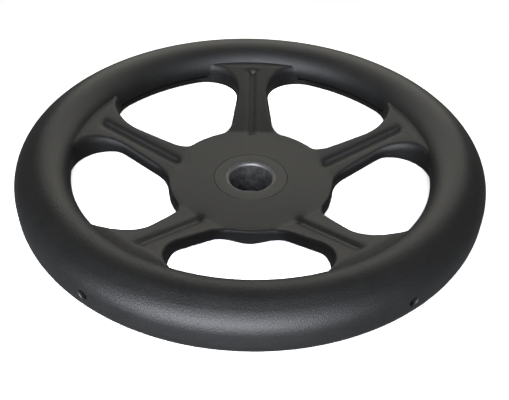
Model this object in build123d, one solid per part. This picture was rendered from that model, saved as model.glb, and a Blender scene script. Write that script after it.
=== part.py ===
"""Dished five-spoke machine handwheel, moulded in one piece over a turned steel boss.

Millimetres. +Z is the wheel's axis and points out of the operator's side. The origin is on the
axis, in the plane of the boss's lower end, on which the wheel stands. Spoke 1 points along +Y.
"""
import os
from math import cos, radians, sin, tan

from build123d import *

# ---------------------------------------------------------------- driving sizes
wheel_diameter = 250.0
spoke_count = 5

# Rim section: a thick rounded grip, with its lower inner side set back under a lip
grip_width = 28.5            # inner side to outer side
palm_radius = 13.5           # round over the top and the inner side
shoulder_radius = 12.3       # outer upper round
keel_radius = 10.0           # round underside
keel_drop = 5.3              # keel round's centre below the palm round's centre
finger_radius = 11.5         # lower inner side
finger_setback = 0.8         # lower inner side behind the upper one
lip_drop = 2.9               # lip below the palm round's centre
lip_groove_width = 2.2
lip_groove_depth = 3.7       # from the rim's inner side
lip_groove_half_angle = 18.5

# Dish: flat hub, sloping spokes, flat ledge inside the rim
hub_thickness = 8.7
grip_rise = 21.0             # palm round's centre above the hub's underside
ledge_rise = 4.2             # ledge's top above the palm round's centre
ledge_thickness = 12.0
ledge_width = 6.5            # from the slope's end to the rim's inner side
slope_start = 43.3           # axis to the straight crease across a spoke, at the hub
spoke_thickness = 6.8
crease_round = 7.0

# Windows between the spokes
hub_edge_distance = 45.8     # axis to the middle of a window's hub side
hub_edge_radius = 59.0
spoke_half_width = 10.6      # at the place below
spoke_width_place = 65.0     # axis to there, along the spoke
spoke_side_taper = 7.2       # degrees, each side, narrowing outwards
hub_corner_radius = 11.5
rim_corner_radius = 19.5
window_seat = 1.9            # window's outer arc behind the rim's inner side
top_edge_round = 3.0

# Flute along the middle of each spoke
flute_floor = (0.8, 2.4)     # half width and depth of its floor
flute_wall = (2.5, 1.1)      # where its steep sides end
flute_shoulder = (4.4, 0.35)
flute_run_out = (7.0, -0.08) # a little above the surface
flute_inner_tip = 43.0       # to axis, on the hub
flute_inner_slope = 3.0      # length over which it deepens from that tip
flute_outer_tip = 90.4       # to axis, on the ledge
flute_outer_slope = 1.8
flute_tip_width = 0.4        # width at either tip, against its full width

# Steel boss and the collar moulded round it
boss_diameter = 41.0
boss_length = 20.0
bore_diameter = 24.0
bore_chamfer_width = 1.8
bore_chamfer_depth = 2.2
boss_edge_chamfer = 0.3
waist_across_flats = 34.0
waist_length = 8.0
collar_wall = 6.0
collar_draft = 6.0           # degrees
collar_setback = 0.5         # collar's end above the boss's end
collar_root_chamfer = 2.2

# Blind holes in the rim's outer side, one opposite each spoke
rim_hole_diameter = 4.8
rim_hole_depth = 9.0
rim_hole_drop = 1.6          # below the palm round's centre

# ---------------------------------------------------------------- derived places
wheel_radius = wheel_diameter / 2
hub_top = boss_length
hub_bottom = hub_top - hub_thickness
grip_z = hub_bottom + grip_rise
rim_inner_radius = wheel_radius - grip_width
palm_centre = (rim_inner_radius + palm_radius, grip_z)
shoulder_centre = (wheel_radius - shoulder_radius, grip_z)
keel_centre = (wheel_radius - keel_radius, grip_z - keel_drop)
finger_centre = (rim_inner_radius + finger_setback + finger_radius, grip_z)
lip_z = grip_z - lip_drop
ledge_top = grip_z + ledge_rise
ledge_bottom = ledge_top - ledge_thickness
web_outer_radius = palm_centre[0]
slope_end = rim_inner_radius - ledge_width
slope = (ledge_top - hub_top) / (slope_end - slope_start)
pitch = 360 / spoke_count
tolerance = 0.01             # when faces and edges are told apart by direction or height
on_end = (Align.CENTER, Align.CENTER, Align.MIN)


def surface_height(along):
    """Height of the top of the hub, a spoke or the ledge, at a distance along the spoke."""
    height = hub_top + (along - slope_start) * slope
    return min(max(height, hub_top), ledge_top)


def along_spoke(point):
    """Distance from the axis, measured along the nearest spoke."""
    ways = [radians(90 + pitch * i) for i in range(spoke_count)]
    return max(point.X * cos(way) + point.Y * sin(way) for way in ways)


def ring(section):
    """Full ring of a section drawn in X (radius) and Z."""
    return revolve(Plane.XZ * section, axis=Axis.Z)


def around(shape):
    """The shape once for each spoke."""
    return [shape.rotate(Axis.Z, pitch * i) for i in range(spoke_count)]


# ---------------------------------------------------------------- rim
def rounds_hull(rounds):
    """Outline drawn tight round a few circles, each (centre, radius)."""
    edges = [(Pos(*centre) * Circle(radius)).edge() for centre, radius in rounds]
    return make_hull(edges)


def make_rim():
    shoulder = (shoulder_centre, shoulder_radius)
    keel = (keel_centre, keel_radius)
    upper = rounds_hull([(palm_centre, palm_radius), shoulder, keel])
    lower = rounds_hull([(finger_centre, finger_radius), shoulder, keel])
    above_lip = Pos(wheel_radius, lip_z) * Rectangle(
        wheel_diameter, wheel_diameter, align=(Align.CENTER, Align.MIN)
    )
    return ring(lower + (upper & above_lip))


def make_lip_grooves():
    """Shadow groove under the lip, along each window."""
    groove_outer = rim_inner_radius + lip_groove_depth
    section = Pos(groove_outer, lip_z) * Rectangle(
        grip_width, lip_groove_width, align=(Align.MAX, Align.MAX)
    )
    arc = 2 * lip_groove_half_angle
    groove = revolve(Plane.XZ * section, axis=Axis.Z, revolution_arc=arc)
    first_window = 90 + pitch / 2
    return around(groove.rotate(Axis.Z, first_window - lip_groove_half_angle))


# ---------------------------------------------------------------- hub, spokes and ledge
def make_spoke_blank():
    """Hub, slope and ledge along +Y, with straight creases across, as wide as at the rim."""
    under_start = slope_start - (hub_thickness - spoke_thickness) / slope
    under_end = under_start + (ledge_bottom - hub_bottom) / slope
    creases = ((slope_end, ledge_top), (slope_start, hub_top))
    outline = make_face(
        Polyline(
            (0, hub_bottom),
            (under_start, hub_bottom),
            (under_end, ledge_bottom),
            (web_outer_radius, ledge_bottom),
            (web_outer_radius, ledge_top),
            *creases,
            (0, hub_top),
            close=True,
        )
    )
    bends = [v for v in outline.vertices() if (v.X, v.Y) in creases]
    outline = Plane.YZ * fillet(bends, crease_round)
    reach = hub_edge_distance * tan(radians(180 / spoke_count))
    return extrude(outline, amount=reach, both=True)


def make_dish():
    """Blank of the hub, the sloping spokes and the ledge that joins them inside the rim."""
    ledge = Pos((rim_inner_radius + web_outer_radius) / 2, (ledge_bottom + ledge_top) / 2)
    ledge = ledge * Rectangle(web_outer_radius - rim_inner_radius, ledge_thickness)
    disc = Cylinder(web_outer_radius, 4 * ledge_top)
    dish = ring(ledge)
    for blank in around(make_spoke_blank() & disc):
        dish += blank
    return dish


def make_window():
    """Plan of one window, its middle along +X."""
    spoke_side = radians(180 / spoke_count)
    taper = tan(radians(spoke_side_taper))

    def side_point(along, side):
        across = spoke_half_width - taper * (along - spoke_width_place)
        x = along * cos(spoke_side) + across * sin(spoke_side)
        y = along * sin(spoke_side) - across * cos(spoke_side)
        return (x, side * y)

    inside_hub = hub_edge_distance - hub_corner_radius
    wedge = make_face(
        Polyline(
            side_point(inside_hub, 1),
            side_point(wheel_radius, 1),
            side_point(wheel_radius, -1),
            side_point(inside_hub, -1),
            close=True,
        )
    )
    outer = Circle(rim_inner_radius + window_seat)
    hub_side = Pos(hub_edge_distance - hub_edge_radius, 0) * Circle(hub_edge_radius)
    plan = (wedge & outer) - hub_side
    plan = fillet(plan.vertices().sort_by(Axis.X)[:2], hub_corner_radius)
    return fillet(plan.vertices().sort_by(Axis.X)[-2:], rim_corner_radius)


def window_top_edges(web):
    """Upper edges of the window walls."""
    beyond_windows = (rim_inner_radius + web_outer_radius) / 2
    edges = []
    for wall in web.faces():
        centre = wall.center()
        upright = abs(wall.normal_at(centre).Z) < tolerance
        if not upright or Vector(centre.X, centre.Y).length > beyond_windows:
            continue
        for edge in wall.edges():
            if abs((edge % 0.5).Z) > 1 - tolerance:
                continue
            middle = edge @ 0.5
            if middle.Z > surface_height(along_spoke(middle)) - spoke_thickness / 2:
                edges.append(edge)
    return edges


def make_web():
    """Hub, spokes and ledge, with the windows cut and their upper edges rounded."""
    web = make_dish()
    cutter = extrude(make_window().face(), amount=ledge_top + hub_top)
    for window in around(cutter.rotate(Axis.Z, 90 + pitch / 2)):
        web -= window
    return fillet(window_top_edges(web), top_edge_round)


# ---------------------------------------------------------------- flutes
def flute_section(along, width, sunk):
    """Section of the flute of the spoke along +Y, as a share of its width, sunk or just above."""
    levels = (flute_floor, flute_wall, flute_shoulder, flute_run_out)
    raised = 0 if sunk else flute_floor[1] - flute_run_out[1]
    half = [(width * across, raised - depth) for across, depth in levels]
    half.append((half[-1][0], ledge_rise + raised))
    points = half + [(-across, height) for across, height in reversed(half)]
    place = Plane(
        origin=(0, along, surface_height(along)), x_dir=(1, 0, 0), z_dir=(0, -1, 0)
    )
    return (place * make_face(Polyline(points, close=True))).face()


def make_flute():
    """Cutter for the flute of the spoke along +Y, rising out of the surface at both tips."""
    stations = [
        (flute_inner_tip, flute_tip_width, False),
        (flute_inner_tip + flute_inner_slope, 1, True),
        (flute_outer_tip - flute_outer_slope, 1, True),
        (flute_outer_tip, flute_tip_width, False),
    ]
    return loft([flute_section(*station) for station in stations], ruled=True)


# ---------------------------------------------------------------- boss, collar and rim holes
def make_boss_blank():
    """Outside of the boss, with a six-sided waist that the moulding grips."""
    blank = Cylinder(boss_diameter / 2, boss_length, align=on_end)
    waist = Cylinder(boss_diameter, waist_length) - extrude(
        RegularPolygon(waist_across_flats / 2, 6, major_radius=False), waist_length, both=True
    )
    blank -= Pos(0, 0, boss_length / 2) * waist
    return chamfer(blank.edges().group_by(Axis.Z)[-1], boss_edge_chamfer)


def make_boss():
    boss = make_boss_blank() - Cylinder(bore_diameter / 2, 3 * boss_length)
    mouth = bore_diameter / 2 + bore_chamfer_width
    flare = Cone(bore_diameter / 2, mouth, bore_chamfer_depth)
    boss -= Pos(0, 0, boss_length - bore_chamfer_depth / 2) * flare
    return boss - Pos(0, 0, bore_chamfer_depth / 2) * Rot(180, 0, 0) * flare


def make_collar():
    """Collar moulded round the boss under the hub."""
    end_radius = boss_diameter / 2 + collar_wall
    root_radius = end_radius + (hub_bottom - collar_setback) * tan(radians(collar_draft))
    section = make_face(
        Polyline(
            (0, collar_setback),
            (end_radius, collar_setback),
            (root_radius, hub_bottom - collar_root_chamfer),
            (root_radius + collar_root_chamfer, hub_bottom),
            (root_radius + collar_root_chamfer, hub_bottom + hub_thickness / 2),
            (0, hub_bottom + hub_thickness / 2),
            close=True,
        )
    )
    return ring(section)


def make_rim_holes():
    """Blind holes in the rim's outer side."""
    floor_y = wheel_radius - rim_hole_depth
    place = Pos(0, floor_y, grip_z - rim_hole_drop) * Rot(-90, 0, 0)
    return around(place * Cylinder(rim_hole_diameter / 2, 2 * rim_hole_depth, align=on_end))


# ---------------------------------------------------------------- the two pieces
def make_wheel():
    wheel = make_web()
    for flute in around(make_flute()):
        wheel -= flute
    wheel = wheel + make_rim() + make_collar() - make_boss_blank()
    for hollow in make_lip_grooves() + make_rim_holes():
        wheel -= hollow
    return wheel


os.makedirs("parts", exist_ok=True)
for node, solid in {"moulded_wheel": make_wheel(), "steel_boss": make_boss()}.items():
    export_step(solid, f"parts/{node}.step")
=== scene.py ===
"""A dished five-spoke handwheel, moulded in black plastic over a steel boss, lying on its boss."""
from math import asin, cos, degrees, hypot, pi, radians, sin, sqrt

import bmesh
import bpy
from mathutils import Euler, Matrix, Vector


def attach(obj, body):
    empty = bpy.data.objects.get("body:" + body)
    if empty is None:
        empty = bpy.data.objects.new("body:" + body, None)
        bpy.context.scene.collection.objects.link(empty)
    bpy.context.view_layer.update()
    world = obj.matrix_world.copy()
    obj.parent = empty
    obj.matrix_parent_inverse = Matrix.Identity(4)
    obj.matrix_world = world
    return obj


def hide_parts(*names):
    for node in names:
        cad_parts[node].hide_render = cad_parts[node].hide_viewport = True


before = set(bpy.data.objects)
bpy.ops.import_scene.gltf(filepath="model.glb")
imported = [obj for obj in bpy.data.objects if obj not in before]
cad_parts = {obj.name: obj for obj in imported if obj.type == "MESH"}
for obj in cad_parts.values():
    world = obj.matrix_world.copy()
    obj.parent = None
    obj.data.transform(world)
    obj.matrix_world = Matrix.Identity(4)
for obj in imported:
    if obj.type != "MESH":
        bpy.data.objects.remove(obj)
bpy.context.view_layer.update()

# ---------------------------------------------------------------- camera
# A normal lens, in front of the wheel and above it, that looks down at the hub by some 40
# degrees.
camera_data = bpy.data.cameras.new("camera")
camera_data.sensor_width = 36.0
camera_data.lens = 51.90
camera_data.clip_start = 0.01
camera = bpy.data.objects.new("camera", camera_data)
camera.location = (-0.00054, -0.32242, 0.27169)
camera.rotation_euler = Euler((radians(50.187), radians(-1.182), radians(0.459)), "XYZ")
bpy.context.scene.collection.objects.link(camera)
bpy.context.scene.camera = camera
bpy.context.scene.view_settings.view_transform = "Standard"

# ---------------------------------------------------------------- steel boss
# The insert in the middle of the hub, turned from steel and blackened. Its bore is left bright
# at its rounded mouths, where it is finished last. The hub is moulded round it.
mm = 0.001
hub_top = 20.0
boss_radius, boss_edge = 20.5, 0.3
boss_gap = 0.02  # between the boss's side and the plastic
bore_radius = 12.0
mouth_width, mouth_depth, mouth_steps = 1.8, 2.2, 8
face_dark, face_light = (0.0057, 0.0057, 0.0057, 1.0), (0.0143, 0.0143, 0.014, 1.0)
# painted reflection: the bore's tones are much paler than the face's, for what the bore mirrors
painted_reflection_dark, painted_reflection_light = (0.079, 0.079, 0.082, 1.0), (0.186, 0.184, 0.182, 1.0)
worn_bright = (0.5, 0.5, 0.49, 1.0)
worn_depth, worn_margin = 1.7, 0.4  # of the bright band, below the boss's end
worn_overlap = 0.05  # of the bright band, past the mouth's rim
gradual, firm, crisp = 2500, 5000, 9000  # how fast one finish turns into the next, per metre
steel_roughness, worn_extra = 0.42, 0.13


class Socket:
    """A shader socket. Arithmetic on it adds Math nodes to the tree that it belongs to."""

    def __init__(self, tree, output=None):
        self.tree = tree
        self.output = output

    def node(self, kind, settings, inputs, output=0):
        """Add a node: first its settings or a ramp's stops, then its sockets' values or links."""
        node = self.tree.nodes.new(kind)
        for name, value in settings.items():
            if name == "stops":
                for stop, (place, colour) in zip(node.color_ramp.elements, value):
                    stop.position = place
                    stop.color = colour
            else:
                setattr(node, name, value)
        for name, value in inputs.items():
            if isinstance(value, Socket):
                self.tree.links.new(value.output, node.inputs[name])
            else:
                node.inputs[name].default_value = value
        return Socket(self.tree, node.outputs[output] if node.outputs else None)

    def sibling(self, name):
        """Another output of the node that this one belongs to."""
        return Socket(self.tree, self.output.node.outputs[name])

    def math(self, operation, *values):
        return self.node("ShaderNodeMath", {"operation": operation}, dict(enumerate(values)))

    def clamped(self):
        return self.node("ShaderNodeClamp", {}, {"Value": self})

    def past(self, limit, rate):
        """0 up to a limit, and rising at a rate to 1 beyond it."""
        return ((self - limit) * rate).clamped()

    def short_of(self, limit, rate):
        """0 beyond a limit, and rising at a rate to 1 before it."""
        return ((limit - self) * rate).clamped()

    def toned(self, low, dark, high, light):
        """One colour up to a low value, another from a high one, and blends between."""
        return self.node("ShaderNodeValToRGB", {"stops": [(low, dark), (high, light)]},
                         {"Fac": self})

    def mixed(self, first, second):
        """The first colour where the value is 0, the second where it is 1."""
        return self.node("ShaderNodeMix", {"data_type": "RGBA"},
                         {"Factor": self, 6: first, 7: second}, 2)

    def mixed_skins(self, first, second):
        """The first shader where the value is 0, the second where it is 1."""
        return self.node("ShaderNodeMixShader", {}, {"Fac": self, 1: first, 2: second})

    def __add__(self, other):
        return self.math("ADD", self, other)

    def __sub__(self, other):
        return self.math("SUBTRACT", self, other)

    def __rsub__(self, other):
        return self.math("SUBTRACT", other, self)

    def __mul__(self, other):
        return self.math("MULTIPLY", self, other)

    __radd__ = __add__
    __rmul__ = __mul__


def new_material(name):
    """A new material without nodes, and a socket of its tree to add them with."""
    material = bpy.data.materials.new(name)
    material.use_nodes = True
    material.node_tree.nodes.clear()
    return material, Socket(material.node_tree)


def distance(x, y):
    """Distance in plan, of two sockets."""
    return x.math("SQRT", x * x + y * y)


def finish_mesh(name, bm, sharp):
    """Turn a bmesh in millimetres into an object in metres, smooth but for its sharp edges."""
    bmesh.ops.scale(bm, vec=(mm, mm, mm), verts=bm.verts)
    mesh = bpy.data.meshes.new(name)
    bm.to_mesh(mesh)
    bm.free()
    mesh.shade_smooth()
    mesh.set_sharp_from_angle(angle=radians(sharp))
    piece = bpy.data.objects.new(name, mesh)
    bpy.context.scene.collection.objects.link(piece)
    return piece


def turned(profile, steps):
    """A bmesh of a closed profile, given in X (radius) and Z, spun right round the Z axis."""
    bm = bmesh.new()
    verts = [bm.verts.new((r, 0, z)) for r, z in profile]
    edges = [bm.edges.new(pair) for pair in zip(verts, verts[1:] + verts[:1])]
    bmesh.ops.spin(bm, geom=verts + edges, cent=(0, 0, 0), axis=(0, 0, 1), angle=2 * pi,
                   steps=steps, use_merge=True)
    bmesh.ops.remove_doubles(bm, verts=bm.verts, dist=0.001)
    bmesh.ops.recalc_face_normals(bm, faces=bm.faces)
    return bm


mouth_turns = [pi / 2 * i / mouth_steps for i in range(mouth_steps + 1)]
upper_mouth = [(bore_radius + mouth_width * (1 - sin(a)), hub_top - mouth_depth * (1 - cos(a)))
               for a in mouth_turns]
lower_mouth = [(r, hub_top - z) for r, z in upper_mouth[::-1]]
boss_side = [
    (boss_radius - boss_edge, 0),
    (boss_radius - boss_gap, boss_edge),
    (boss_radius - boss_gap, hub_top - boss_edge),
    (boss_radius - boss_edge, hub_top),
]
boss_profile = lower_mouth + boss_side + upper_mouth
boss = finish_mesh("boss_insert", turned(boss_profile, steps=240), sharp=20)


def blackened_steel():
    """Dull blackened steel, mottled in the bore, where a painted reflection makes it paler, worn
    bright round the mouths of the bore.
    """
    material, add = new_material("blackened_steel")
    place = add.node("ShaderNodeTexCoord", {}, {}, "Object")
    x = add.node("ShaderNodeSeparateXYZ", {}, {"Vector": place}, "X")
    radius = distance(x, x.sibling("Y"))
    middle = hub_top / 2
    height = add.math("ABSOLUTE", x.sibling("Z") - middle * mm)
    mouth = height.past((middle - worn_depth) * mm, gradual)
    mouth = mouth * height.short_of((middle - worn_margin) * mm, firm)
    mouth = mouth * radius.short_of((bore_radius + mouth_width + worn_overlap) * mm, crisp)
    bore = radius.short_of((bore_radius + mouth_width) * mm, crisp)
    mottle = add.node("ShaderNodeTexNoise", {}, {"Vector": place, "Scale": 350.0, "Detail": 4.0})
    grain = add.node("ShaderNodeTexNoise", {}, {"Vector": place, "Scale": 2200.0, "Detail": 2.0})
    face = mottle.toned(0.3, face_dark, 0.7, face_light)
    # the bore's paler mottled tone is a painted reflection
    inside = mottle.toned(0.35, painted_reflection_dark, 0.65, painted_reflection_light)
    relief = add.node("ShaderNodeBump", {}, {"Strength": 0.35, "Distance": 0.00003,
                                             "Height": grain})
    skin = add.node("ShaderNodeBsdfPrincipled", {}, {
        "Base Color": mouth.mixed(bore.mixed(face, inside), worn_bright), "Metallic": mouth,
        "Specular IOR Level": 0.72, "Roughness": steel_roughness + mouth * worn_extra,
        "Normal": relief})
    add.node("ShaderNodeOutputMaterial", {}, {"Surface": skin})
    return material


boss.data.materials.append(blackened_steel())
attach(boss, "root")
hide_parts("steel_boss")

# ---------------------------------------------------------------- moulded wheel: hub, spokes, ledge
# One moulding in black plastic. A flat hub carries five sloping spokes with straight creases, and
# a flat ledge joins them inside the rim. A flute runs along the middle of each spoke.
half_pitch = 36  # degrees from the middle of a spoke to the middle of a window
hub_bottom = 11.3
ledge_top, ledge_bottom = 37.2, 24.5
slope_start, slope_end = 43.3, 92.0
spoke_thickness = 6.8
slope = (ledge_top - hub_top) / (slope_end - slope_start)
crease_round, under_round = 1.2, 1.6
collar_root, web_outer = 30.6, 104.0
plastic_sharp = 35  # degrees at which an edge of the moulding is sharp


def towards(angle):
    """Direction in plan at an angle in degrees from +X."""
    return Vector((cos(radians(angle)), sin(radians(angle))))


def heading(v):
    """Angle of a direction in plan, in degrees from +X."""
    return -degrees(Vector((1, 0)).angle_signed(Vector((v.x, v.y))))


def spaced(start, end, steps):
    """Evenly spaced values from a start, leaving out the end."""
    return [start + (end - start) * i / steps for i in range(steps)]


# A window's outline: two wide arcs, (centre, radius), at the hub and the rim, a straight side
# of the spoke, and a round at each end of that side.
bisector = towards(90 - half_pitch)
hub_edge, hub_arc = 45.8, 59.0
hub_side = (bisector * (hub_edge - hub_arc), hub_arc)
rim_side = (Vector((0, 0)), 98.4)
side_taper = 7.2
side_point = Vector((10.6, 65.0))
side_right = towards(side_taper)
side_along = Vector((-side_right.y, side_right.x))
hub_corner, rim_corner = 11.5, 19.5


def tangent_centre(away, centre, reach):
    """Centre of a round at a distance from the spoke's side and at a reach from another centre."""
    start = side_point + side_right * away - centre
    along = start.dot(side_along)
    root = sqrt(along**2 - start.length_squared + reach**2)
    return centre + start + side_along * (root - along)


hub_round = tangent_centre(hub_corner, hub_side[0], hub_side[1] + hub_corner)
rim_round = tangent_centre(rim_corner, rim_side[0], rim_side[1] - rim_corner)


def window_edge():
    """Points along half a window, the ways into the material there, and the kinds of edge."""
    hub_end = heading(hub_round - hub_side[0])
    rim_end = heading(rim_round)
    side_way = 180 + side_taper
    points = [(hub_side[0] + towards(a) * hub_side[1], -towards(a), "hub")
              for a in spaced(heading(bisector), hub_end, 14)]
    points += [(hub_round + towards(a) * hub_corner, towards(a), "hub corner")
               for a in spaced(hub_end + 180, side_way, 22)]
    start = hub_round - side_right * hub_corner
    end = rim_round - side_right * rim_corner
    points += [(start.lerp(end, k), -side_right, "side") for k in spaced(0, 1, 16)]
    points += [(rim_round + towards(a) * rim_corner, towards(a), "rim corner")
               for a in spaced(side_way, rim_end, 34)]
    points += [(towards(a) * rim_side[1], towards(a), "rim")
               for a in spaced(rim_end, heading(bisector), 4) + [heading(bisector)]]
    return points


def inner_path(hub_radius):
    """Round the hub, out along the spoke's middle, and round inside the rim.

    It has as many points as window_edge, closer together at the creases and the flute's tips.
    """
    round_hub = spaced(half_pitch, 9, 14) + spaced(9, 0, 5)
    outwards = spaced(hub_radius, 39, 5) + spaced(39, 47, 10) + spaced(47, 50, 2)
    outwards += spaced(50, 74, 16) + spaced(74, 85, 6)
    outwards += spaced(85, slope_end, 14) + spaced(slope_end, web_outer, 4)
    round_rim = spaced(0, 20, 10) + spaced(20, half_pitch, 4) + [half_pitch]
    return ([towards(90 - a) * hub_radius for a in round_hub] + [Vector((0, y)) for y in outwards]
            + [towards(90 - a) * web_outer for a in round_rim])


def bend(x, half):
    """Nothing below 0, x above it, with a round bend of a half width between."""
    if abs(x) > half:
        return max(x, 0.0)
    return (x + half) ** 2 / (4 * half)


flute_depth, flute_width, flute_power = 2.6, 2.2, 2.6
flute_inner, flute_outer = 45.6, 88.2
inner_stretch, outer_stretch = 0.9, 1.9


def flute(x, y):
    """Depth of the flute, which runs along the spoke and fades out at both ends."""
    beyond = max((flute_inner - y) * inner_stretch, (y - flute_outer) * outer_stretch, 0.0)
    return flute_depth / (1 + (hypot(x, beyond) / flute_width) ** flute_power)


def top_height(x, y):
    """Height of the hub, the sloping spoke and the ledge, with the flute sunk in."""
    rise = bend(y - slope_start, crease_round) - bend(y - slope_end, crease_round)
    return hub_top + slope * rise - flute(x, y)


def under_height(y):
    """Height of the underside, which slopes as the top does."""
    start = slope_start - (hub_top - hub_bottom - spoke_thickness) / slope
    end = start + (ledge_bottom - hub_bottom) / slope
    return hub_bottom + slope * (bend(y - start, under_round) - bend(y - end, under_round))


edge_round = {  # width and depth of the round along the window's upper edge
    "hub": (1.3, 1.2),
    "hub corner": (1.8, 2.0),
    "side": (2.6, 3.5),
    "rim corner": (2.2, 4.4),
    "rim": (2.2, 4.8),
}
inward_steps, round_steps, under_steps = 12, 8, 6
inward_crowding = 1.4  # draws the steps towards the spoke's middle
blend_steps = 6  # to each side of a point, over which the kinds of edge blend
edge_points = window_edge()
top_path = inner_path(boss_radius)
under_path = inner_path(collar_root)


def web_point(i, j):
    """Place of a point: i along half a window's edge, j out over the top, round and back under."""
    edge, inward, _ = edge_points[i]
    near = [edge_round[edge_points[min(max(i + k, 0), len(edge_points) - 1)][2]]
            for k in range(-blend_steps, blend_steps + 1)]
    width, depth = (sum(sizes) / len(near) for sizes in zip(*near))
    if j <= inward_steps:
        share = (j / inward_steps) ** inward_crowding
        p = top_path[i].lerp(edge + inward * width, share)
        return (p.x, p.y, top_height(p.x, p.y))
    j -= inward_steps
    if j <= round_steps:
        a = radians(90 * (1 - j / round_steps))
        p = edge + inward * (width * (1 - cos(a)))
        return (p.x, p.y, top_height(p.x, p.y) - depth * (1 - sin(a)))
    j -= round_steps
    p = edge.lerp(under_path[i], (j - 1) / under_steps)
    return (p.x, p.y, under_height(p.y))


# The collar round the boss, from the hub's top down inside it and up its drafted outside.
collar_profile = [(boss_radius, 19.6), (boss_radius, 0.7), (20.7, 0.5), (25.9, 0.5), (26.5, 1.0),
                  (27.5, 8.4), (28.2, 9.7), (29.3, 10.2)]


def web_mesh():
    """Half a spoke as a folded grid, mirrored, repeated and closed at the rim and the hub."""
    bm = bmesh.new()
    along, across = len(edge_points) - 1, inward_steps + round_steps + 1 + under_steps
    bmesh.ops.create_grid(bm, x_segments=along, y_segments=across, size=0.5)
    for v in bm.verts:
        v.co = web_point(round((v.co.x + 0.5) * along), round((v.co.y + 0.5) * across))
    bmesh.ops.mirror(bm, geom=bm.verts[:] + bm.edges[:] + bm.faces[:], axis="X", merge_dist=0.001)
    bmesh.ops.spin(bm, geom=bm.verts[:] + bm.edges[:] + bm.faces[:], cent=(0, 0, 0),
                   axis=(0, 0, 1), angle=2 * pi * 4 / 5, steps=4, use_duplicate=True)
    bmesh.ops.remove_doubles(bm, verts=bm.verts, dist=0.005)
    open_edges = {"outer": [], "top": [], "under": []}
    for edge in [e for e in bm.edges if e.is_boundary]:
        middle = (edge.verts[0].co + edge.verts[1].co) / 2
        inner = "top" if middle.z > (hub_top + hub_bottom) / 2 else "under"
        open_edges["outer" if middle.xy.length > slope_end else inner].append(edge)
    bmesh.ops.bridge_loops(bm, edges=open_edges["outer"])
    edges = open_edges["top"]
    for radius, z in collar_profile:
        fresh = bmesh.ops.extrude_edge_only(bm, edges=edges)["geom"]
        edges = [e for e in fresh if isinstance(e, bmesh.types.BMEdge)]
        for v in {v for e in edges for v in e.verts}:
            v.co = (*(v.co.xy.normalized() * radius), z)
    bmesh.ops.bridge_loops(bm, edges=edges + open_edges["under"])
    bmesh.ops.recalc_face_normals(bm, faces=bm.faces)
    return bm


wheel = finish_mesh("handwheel_moulding", web_mesh(), sharp=plastic_sharp)

# ---------------------------------------------------------------- moulded wheel: rim
# The thick rounded grip of the same moulding, with its lower inner side set back under a lip, a
# thin groove below the lip along each window, and five blind holes in its outer side.
palm = ((110.0, 32.3), 13.5)
shoulder = ((112.7, 32.3), 12.3)
keel = ((115.0, 27.0), 10.0)
finger = ((108.8, 32.3), 11.5)
palm_end, finger_start = 63.6, 240.1
rim_radius = 125.0
lip_z = 29.4
groove_inner, groove_floor = 92, 100.2
groove_height, groove_half_angle = 1.8, 18.5
hole_radius, hole_floor, hole_z, hole_mouth = 2.4, 116.0, 30.7, 0.5
plastic_dark, plastic_light = (0.0043, 0.0043, 0.0043, 1.0), (0.017, 0.017, 0.0166, 1.0)
grain_share, cloud_share = 0.7, 0.3
plastic_roughness, uneven_extra = 0.40, 0.08


def arc(circle, start, end, steps):
    """Points along a circle, (centre, radius), between two angles in degrees."""
    (x, y), radius = circle
    return [(x + radius * cos(radians(a)), y + radius * sin(radians(a)))
            for a in spaced(start, end, steps) + [end]]


def side_angle(circle, z):
    """Angle at which a circle's inner side passes a height."""
    (_, centre_z), radius = circle
    return 180 + degrees(asin((centre_z - z) / radius))


rim_profile = (arc(palm, side_angle(palm, lip_z), palm_end, 28)
               + arc(shoulder, palm_end, 0, 14)[1:]
               + arc(keel, 0, finger_start - 360, 22)
               + arc(finger, finger_start, side_angle(finger, lip_z), 10))
rim = finish_mesh("rim_blank", turned(rim_profile, steps=360), sharp=plastic_sharp)


def lip_groove(azimuth):
    """One groove below the lip, as a closed ring segment about an azimuth."""
    half = radians(groove_half_angle)
    foot = lip_z - groove_height
    bm = bmesh.new()
    corners = [(groove_inner, lip_z), (groove_floor, lip_z),
               (groove_floor, foot), (groove_inner, foot)]
    section = bm.faces.new([bm.verts.new((r, 0, z)) for r, z in corners])
    bmesh.ops.rotate(bm, verts=bm.verts, matrix=Matrix.Rotation(azimuth - half, 3, "Z"))
    bmesh.ops.spin(bm, geom=[section], cent=(0, 0, 0), axis=(0, 0, 1), angle=2 * half, steps=40)
    bmesh.ops.recalc_face_normals(bm, faces=bm.faces)
    return bm


def rim_hole(azimuth):
    """One blind hole with a broken edge, pointing out along an azimuth."""
    profile = [(0, hole_floor), (hole_radius, hole_floor), (hole_radius, rim_radius - hole_mouth),
               (hole_radius + 2 * hole_mouth, rim_radius + hole_mouth),
               (0, rim_radius + hole_mouth)]
    bm = turned(profile, steps=40)
    bmesh.ops.rotate(bm, verts=bm.verts, matrix=Matrix.Rotation(radians(90), 3, "Y"))
    bmesh.ops.translate(bm, verts=bm.verts, vec=(0, 0, hole_z))
    bmesh.ops.rotate(bm, verts=bm.verts, matrix=Matrix.Rotation(azimuth, 3, "Z"))
    return bm


def join(piece, other, operation):
    """Join another closed mesh to a piece, or cut it out of the piece."""
    modifier = piece.modifiers.new("join", "BOOLEAN")
    modifier.operation = operation
    modifier.solver = "EXACT"
    modifier.object = other
    graph = bpy.context.evaluated_depsgraph_get()
    joined = bpy.data.meshes.new_from_object(piece.evaluated_get(graph))
    piece.modifiers.clear()
    piece.data = joined
    bpy.data.objects.remove(other)


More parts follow.
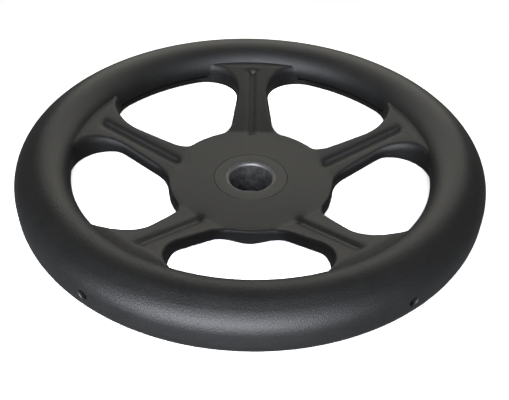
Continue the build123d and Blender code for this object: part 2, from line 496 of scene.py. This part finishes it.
join(wheel, rim, "UNION")
hollows = bmesh.new()
for spoke in range(5):
    azimuth = radians(90 + 2 * half_pitch * spoke)
    for hollow in (lip_groove(azimuth + radians(half_pitch)), rim_hole(azimuth)):
        part = bpy.data.meshes.new("hollow")
        hollow.to_mesh(part)
        hollow.free()
        hollows.from_mesh(part)
        bpy.data.meshes.remove(part)
join(wheel, finish_mesh("hollows", hollows, sharp=plastic_sharp), "DIFFERENCE")
wheel.data.set_sharp_from_angle(angle=radians(plastic_sharp))


def moulded_plastic():
    """Matt black plastic with a fine grain, faintly uneven in tone and gloss."""
    material, add = new_material("black_moulded_plastic")
    place = add.node("ShaderNodeTexCoord", {}, {}, "Object")
    grain = add.node("ShaderNodeTexNoise", {}, {"Vector": place, "Scale": 1500.0, "Detail": 2.0,
                                                "Roughness": 0.6})
    clouds = add.node("ShaderNodeTexNoise", {}, {"Vector": place, "Scale": 60.0, "Detail": 3.0})
    mottle = grain * grain_share + clouds * cloud_share
    relief = add.node("ShaderNodeBump", {}, {"Strength": 1.0, "Distance": 0.0002,
                                             "Height": grain})
    skin = add.node("ShaderNodeBsdfPrincipled", {}, {
        "Base Color": mottle.toned(0.3, plastic_dark, 0.7, plastic_light),
        "Specular IOR Level": 0.72, "Roughness": clouds * uneven_extra + plastic_roughness,
        "Normal": relief})
    add.node("ShaderNodeOutputMaterial", {}, {"Surface": skin})
    return material


wheel.data.materials.append(moulded_plastic())
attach(wheel, "root")
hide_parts("moulded_wheel")

# ---------------------------------------------------------------- floor
# A white table with a soft sheen, which the boss stands on and which keeps the wheel's shadow.
# The camera sees painted light on it below the windows, a painted shadow in the bore and plain
# white further out.
white = (1.0, 1.0, 1.0, 1.0)
table_reach = 3.0
table_tone, seen_tone, painted_light_boost = 0.28, 2.57, 5.14
painted_light_centre, painted_light_radius = 0.028, 0.108  # metres, a little behind the wheel's axis
painted_bore_shadow, plain_start = 0.04, 0.17
painted_light_rate, painted_bore_shadow_rate, plain_rate = 100, 2000, 8  # per metre
sheen_roughness, sheen_share = 0.4, 0.6
bm = bmesh.new()
bmesh.ops.create_grid(bm, x_segments=1, y_segments=1, size=table_reach)
floor_mesh = bpy.data.meshes.new("floor")
bm.to_mesh(floor_mesh)
bm.free()
floor = bpy.data.objects.new("floor", floor_mesh)
bpy.context.scene.collection.objects.link(floor)


def white_table():
    """White with a sheen, by how far a place is from the wheel and by what looks at it, with
    painted light below the windows and a painted shadow in the bore.
    """
    material, add = new_material("white_table")
    camera_ray = add.node("ShaderNodeLightPath", {}, {}, "Is Camera Ray")
    seen = (camera_ray + camera_ray.sibling("Is Transmission Ray")).clamped()
    x = add.node("ShaderNodeSeparateXYZ", {}, {
        "Vector": add.node("ShaderNodeTexCoord", {}, {}, "Object")}, "X")
    y = x.sibling("Y")
    radius = distance(x, y)
    # painted light: a disc below the windows is brighter to the camera and has less sheen
    bright = distance(x, y - painted_light_centre).short_of(painted_light_radius, painted_light_rate)
    # painted shadow: the table is dark under the boss and in its bore, to every ray
    outside = radius.past(boss_radius * mm, painted_bore_shadow_rate) * (1 - painted_bore_shadow) + painted_bore_shadow
    level = (seen * (bright * painted_light_boost + seen_tone) + table_tone) * outside
    tone = add.node("ShaderNodeCombineColor", {}, {"Red": level, "Green": level, "Blue": level})
    matt = add.node("ShaderNodeBsdfDiffuse", {}, {"Color": tone})
    sheen = add.node("ShaderNodeBsdfGlossy", {}, {"Color": white, "Roughness": sheen_roughness})
    fresnel = add.node("ShaderNodeFresnel", {}, {"IOR": 1.5})
    gloss = fresnel * (bright * -sheen_share + sheen_share)
    plain = add.node("ShaderNodeEmission", {}, {"Color": white})
    far_off = seen * radius.past(plain_start, plain_rate)
    table = far_off.mixed_skins(gloss.mixed_skins(matt, sheen), plain)
    from_below = add.node("ShaderNodeNewGeometry", {}, {}, "Backfacing")
    clear = add.node("ShaderNodeBsdfTransparent", {}, {})
    add.node("ShaderNodeOutputMaterial", {}, {"Surface": from_below.mixed_skins(table, clear)})
    return material


floor.data.materials.append(white_table())

# ---------------------------------------------------------------- light
# A soft studio: a long low softbox in front with a weaker one above it, a small one close
# behind, and a dim even room. The camera sees the room as white.
cool, warm = (0.89, 0.92, 1.0), (1.0, 0.98, 0.89)
lit_place = Vector((0, 0, 0.03))
room_tone = (0.14, 0.14, 0.14, 1.0)


def softbox(name, place, width, height, strength, colour):
    """An even rectangular lamp that faces the wheel. Its face is as bright as its strength."""
    lamp = bpy.data.lights.new(name, "AREA")
    lamp.shape = "RECTANGLE"
    lamp.size, lamp.size_y = width, height
    lamp.energy = strength * pi * width * height
    lamp.color = colour
    box = bpy.data.objects.new(name, lamp)
    box.location = place
    box.rotation_euler = (lit_place - Vector(place)).to_track_quat("-Z", "Y").to_euler()
    box.visible_camera = False
    bpy.context.scene.collection.objects.link(box)


softbox("front_softbox", (-0.14, -0.70, 0.13), width=1.0, height=0.25, strength=9.8, colour=cool)
softbox("upper_softbox", (-0.06, -0.55, 0.45), width=0.6, height=0.30, strength=3.5, colour=cool)
softbox("back_softbox", (0.02, 0.22, 0.15), width=0.44, height=0.18, strength=1.12, colour=warm)

world = bpy.data.worlds.new("studio")
world.use_nodes = True
world.node_tree.nodes.clear()
add = Socket(world.node_tree)
camera_ray = add.node("ShaderNodeLightPath", {}, {}, "Is Camera Ray")
seen = (camera_ray + camera_ray.sibling("Is Transmission Ray")).clamped()
room = add.node("ShaderNodeBackground", {}, {"Color": seen.mixed(room_tone, white),
                                             "Strength": 1.0})
add.node("ShaderNodeOutputWorld", {}, {"Surface": room})
bpy.context.scene.world = world
